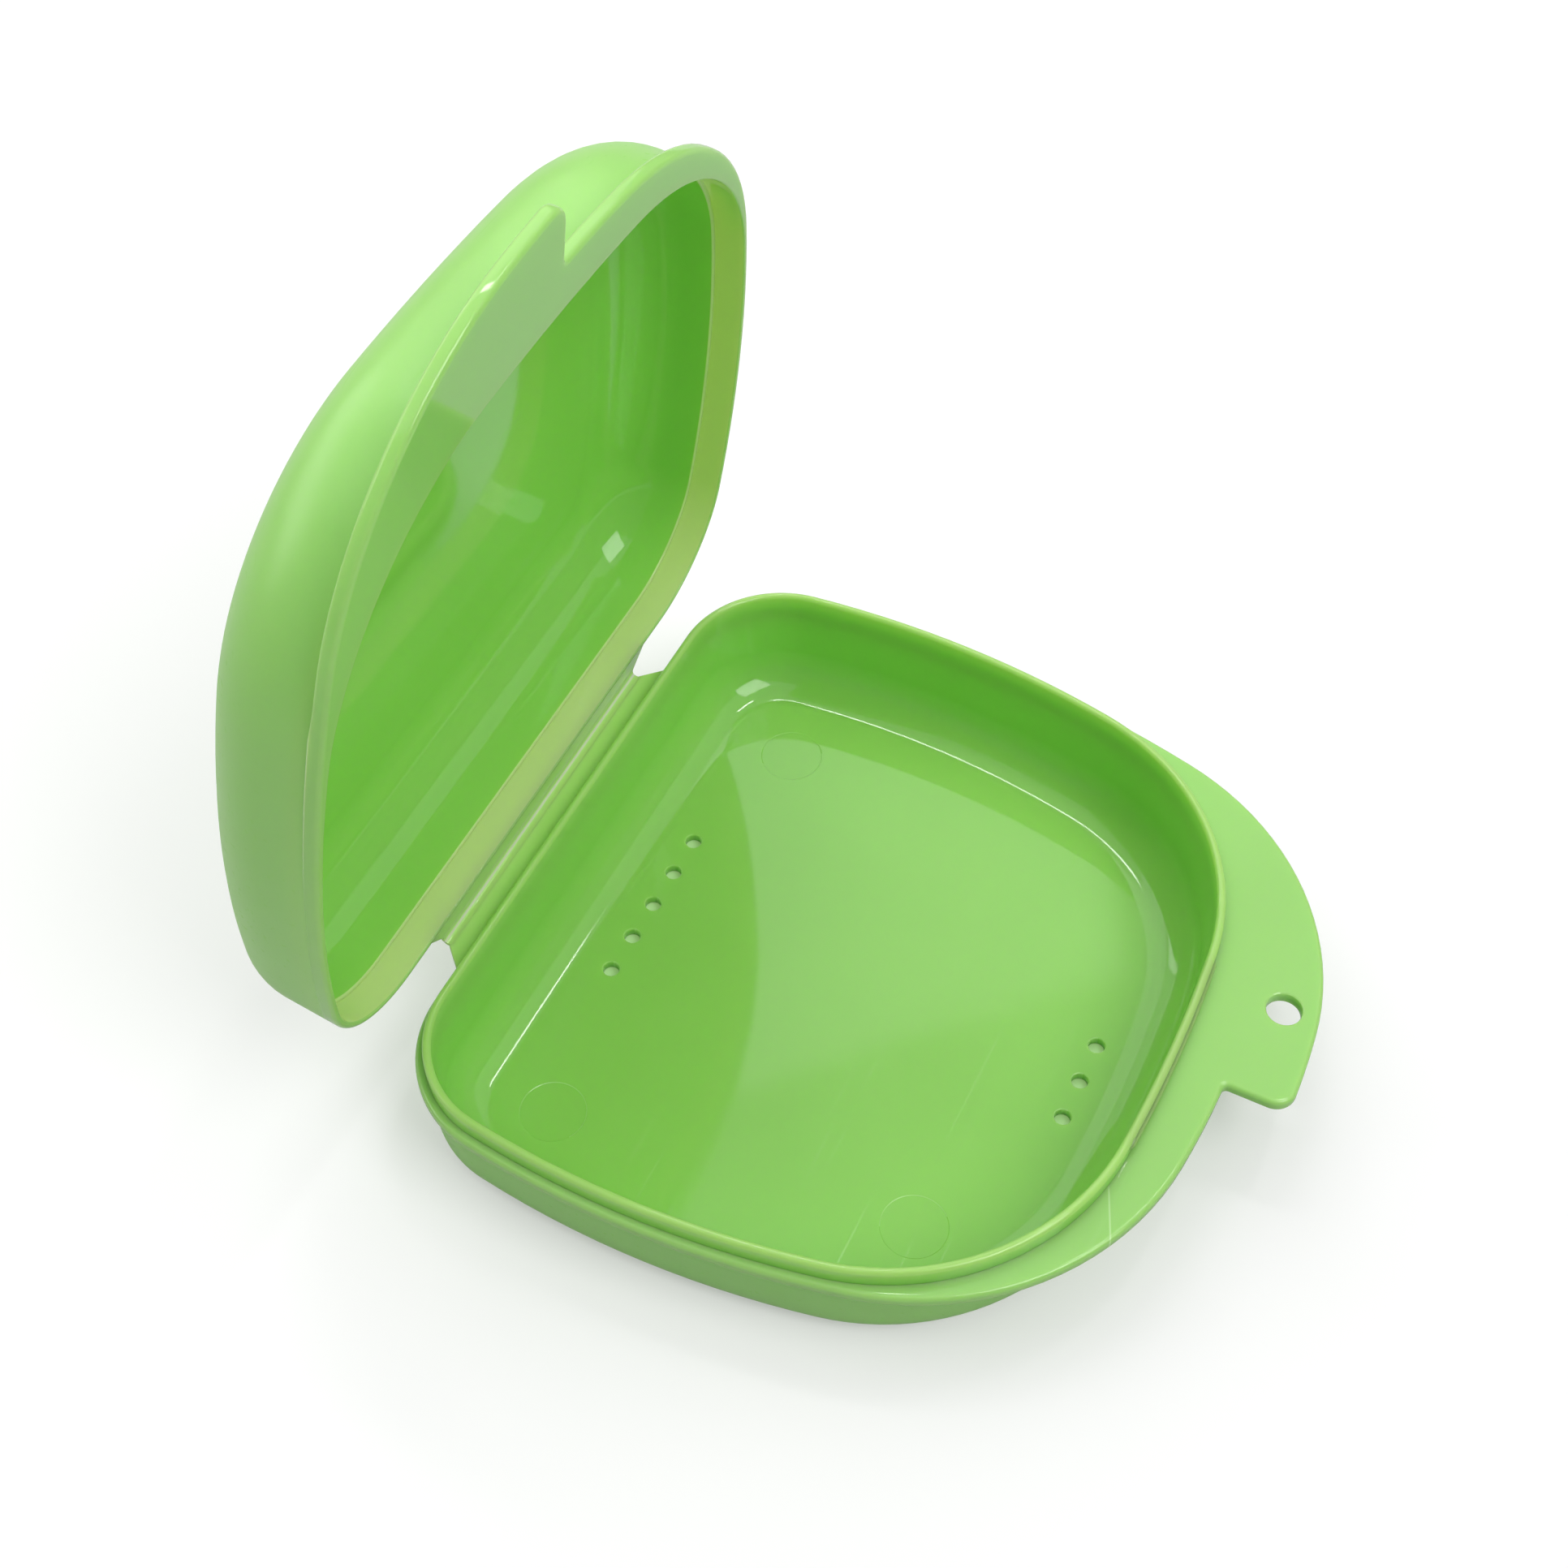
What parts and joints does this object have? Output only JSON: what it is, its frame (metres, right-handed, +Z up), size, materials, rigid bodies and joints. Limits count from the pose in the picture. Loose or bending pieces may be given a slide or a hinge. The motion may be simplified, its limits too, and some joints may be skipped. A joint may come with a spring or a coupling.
{
  "type": "retainer case",
  "caption": "Shallow hard case for a dental retainer: a drained tray with an upright lip and a domed lid on a living hinge, with offset thumb tabs and a cord hole.",
  "frame": {"origin": "on the flat underside of the tray, on the centre line at the widest line of the case", "axes": "+X along the hinge, +Y towards the hinge, so the thumb tabs point to -Y, and +Z up out of the tray"},
  "size_m": [0.0844, 0.1021, 0.1008],
  "materials": {
    "shell_plastic": "glossy moulded polypropylene",
    "rim_plastic": "glossy moulded polypropylene, paler where thin",
    "strap_plastic": "glossy moulded polypropylene",
    "film_plastic": "thin polypropylene, whitened by bending"
  },
  "bodies": {
    "base": {"base_tray": "shell_plastic", "base_rim": "rim_plastic", "base_hinge_leaf": "strap_plastic", "hinge_film": "film_plastic"},
    "lid": {"lid_hinge_leaf": "strap_plastic", "lid_rim": "rim_plastic", "lid_shell": "shell_plastic"}
  },
  "joints": [
    {"name": "lid_hinge", "type": "hinge", "parent": "base", "child": "lid", "pos_m": [0, 0.02925, 0.01268], "axis": [-1, 0, 0], "range_deg": [-82.7, 97.3], "deforming": ["hinge_film"]}
  ]
}
